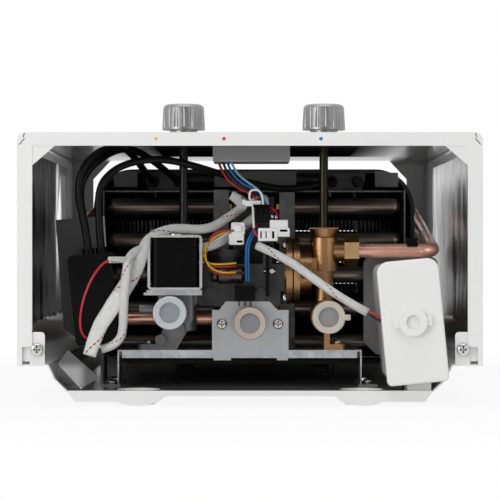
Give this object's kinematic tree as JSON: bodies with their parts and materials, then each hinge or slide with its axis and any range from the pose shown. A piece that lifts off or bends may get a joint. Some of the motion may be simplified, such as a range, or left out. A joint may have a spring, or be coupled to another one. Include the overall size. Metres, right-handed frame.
{
  "type": "portable gas water heater",
  "caption": "Box-shaped instantaneous gas water heater with its service end open: valves, burners, heat exchanger, igniter, battery box, knobs and a flue at the far end.",
  "frame": {"origin": "centre of the bounding box's footprint, where the back plate's stamped cups rest", "axes": "+Z is the way the front cover faces, +Y runs from the service end to the flue end, +X is to the right seen from the service end. The heater lies on its back; hung for use, +Y is up."},
  "size_m": [0.31, 0.452, 0.2041],
  "materials": {
    "white_paint": "glossy powder coat",
    "foil": "bright crumpled foil",
    "screw_chrome": "bright plated",
    "galvanised": "galvanised",
    "grey_paint": "satin",
    "aluminised": "dull, heat stained",
    "stainless": "satin",
    "copper": "drawn copper",
    "brass": "cast and turned",
    "cast_grey": "as cast",
    "cast_dark": "dark coated casting",
    "ceramic": "glazed",
    "black_rubber": "matte",
    "black_plastic": "fine textured",
    "white_plastic": "moulded",
    "grey_plastic": "moulded",
    "cell_wrap": "printed sleeve",
    "winding": "taped winding",
    "cap_plastic": "translucent polythene",
    "silver_knob": "silver, brushed",
    "window": "clear smoked",
    "sleeve": "woven glass fibre",
    "wire": "coloured insulation"
  },
  "bodies": {
    "casing": {"front_cover": "white_paint", "back_plate": "white_paint", "left_foil_liner": "foil", "right_foil_liner": "foil", "cover_screws": "screw_chrome", "frame_screws": "screw_chrome", "diaphragm_screws": "screw_chrome", "chassis_rail": "galvanised", "outlet_plate": "galvanised", "solenoid_flange": "galvanised", "electrode_bracket": "galvanised", "left_bracket": "grey_paint", "right_bracket": "grey_paint", "combustion_chamber": "aluminised", "flue_hood": "aluminised", "burner_frame": "aluminised", "burner_bars": "stainless", "solenoid_frame": "stainless", "heat_exchanger_fins": "copper", "heat_exchanger_tube": "copper", "cold_pipe": "copper", "hot_pipe": "copper", "gas_nozzles": "brass", "water_valve_body": "brass", "diaphragm_cover": "brass", "union_nut": "brass", "hot_outlet": "brass", "gas_valve_body": "cast_grey", "gas_manifold": "cast_grey", "linkage_housing": "cast_dark", "electrodes": "ceramic", "electrode_boots": "black_rubber", "ignition_leads": "black_rubber", "diaphragm": "black_rubber", "igniter_box": "black_plastic", "micro_switch": "black_plastic", "pipe_clip": "black_plastic", "battery_case": "white_plastic", "wire_connectors": "white_plastic", "display_housing": "grey_plastic", "battery_cells": "cell_wrap", "solenoid_coil": "winding", "display_window": "window", "left_sleeves": "sleeve", "right_sleeve": "sleeve", "harness_wires": "wire"},
    "gas_control": {"gas_knob": "silver_knob", "gas_spindle": "stainless"},
    "water_control": {"water_knob": "silver_knob", "water_spindle": "brass"},
    "battery_door": {"battery_lid": "white_plastic", "battery_gasket": "black_rubber"},
    "battery_lock": {"battery_lock_knob": "white_plastic"},
    "gas_cover_cap": {"gas_cap": "cap_plastic"},
    "hot_cover_cap": {"hot_cap": "cap_plastic"},
    "cold_cover_cap": {"cold_cap": "cap_plastic"},
    "plunger": {"solenoid_plunger": "stainless"},
    "rod": {"push_rod": "stainless"},
    "lever": {"switch_lever": "white_plastic"},
    "bail": {"carry_handle": "stainless"}
  },
  "joints": [
    {"name": "gas_knob_turn", "type": "hinge", "parent": "casing", "child": "gas_control", "pos_m": [-0.0459, -0.159, 0.19], "axis": [0, 0, 1], "range_deg": [0, 150]},
    {"name": "water_knob_turn", "type": "hinge", "parent": "casing", "child": "water_control", "pos_m": [0.051, -0.159, 0.19], "axis": [0, 0, 1], "range_deg": [0, 270]},
    {"name": "battery_lid_pull", "type": "slide", "parent": "casing", "child": "battery_door", "axis": [0, -1, 0], "range_m": [0, 0.03]},
    {"name": "battery_lock_turn", "type": "hinge", "parent": "battery_door", "child": "battery_lock", "pos_m": [0.1078, -0.222, 0.056], "axis": [0, 1, 0], "range_deg": [0, 90]},
    {"name": "gas_cap_pull", "type": "slide", "parent": "casing", "child": "gas_cover_cap", "axis": [0, -1, 0], "range_m": [0, 0.02]},
    {"name": "hot_cap_pull", "type": "slide", "parent": "casing", "child": "hot_cover_cap", "axis": [0, -1, 0], "range_m": [0, 0.02]},
    {"name": "cold_cap_pull", "type": "slide", "parent": "casing", "child": "cold_cover_cap", "axis": [0, -1, 0], "range_m": [0, 0.02]},
    {"name": "plunger_lift", "type": "slide", "parent": "casing", "child": "plunger", "axis": [0, 0, 1], "range_m": [0, 0.003], "stiffness_N_per_m": 100},
    {"name": "rod_push", "type": "slide", "parent": "casing", "child": "rod", "axis": [-1, 0, 0], "range_m": [0, 0.003], "stiffness_N_per_m": 200},
    {"name": "lever_swing", "type": "hinge", "parent": "casing", "child": "lever", "pos_m": [0.012, -0.171, 0.1051], "axis": [0, 1, 0], "range_deg": [0, 10.9]},
    {"name": "handle_swing", "type": "hinge", "parent": "casing", "child": "bail", "pos_m": [0, 0.204, 0.0034], "axis": [1, 0, 0], "range_deg": [0, 180]}
  ],
  "couplings": [
    {"joint": "lever_swing", "follows": "rod_push", "rad_per_m": 62.5}
  ]
}
